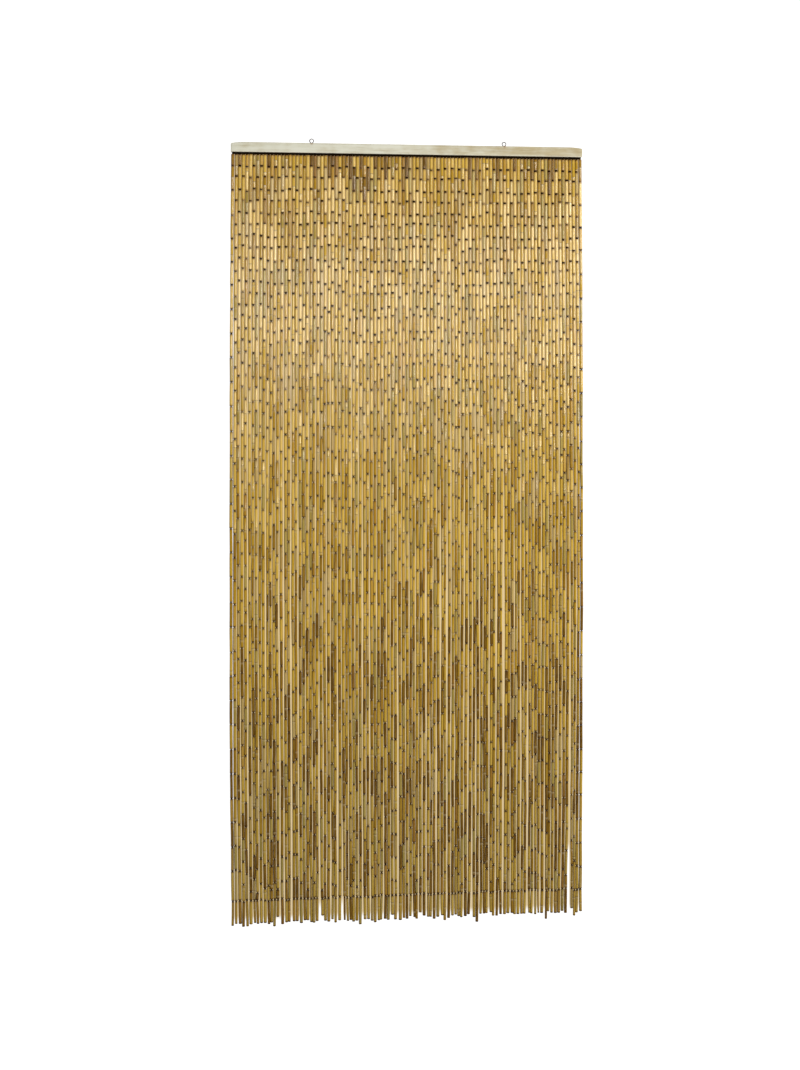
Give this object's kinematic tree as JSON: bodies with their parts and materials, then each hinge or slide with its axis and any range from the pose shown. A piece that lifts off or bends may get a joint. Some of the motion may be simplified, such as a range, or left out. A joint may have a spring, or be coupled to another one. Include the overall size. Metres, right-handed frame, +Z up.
{
  "type": "bamboo door curtain with its header batten",
  "caption": "Strand curtain of linked bamboo tubes that hang from a black rail under a limewashed wooden batten with hanging eyes.",
  "frame": {"origin": "centre of the batten's back face, which lies against the wall or door frame", "axes": "+X along the batten to the right as seen from the room, +Y into the wall, +Z up"},
  "size_m": [0.9074, 0.02, 2.002],
  "materials": {
    "limewashed_wood": "thin cream limewash over planed softwood, matt",
    "black_strip": "black, slightly dull",
    "iron_wire": "dark annealed wire, a little worn",
    "bamboo": "thin bamboo cane, golden to olive and brown, satin"
  },
  "bodies": {
    "root": {"header_batten": "limewashed_wood", "hanging_rail": "black_strip", "screw_eye_left": "iron_wire", "screw_eye_right": "iron_wire", "strand_comb": "bamboo"}
  },
  "joints": []
}
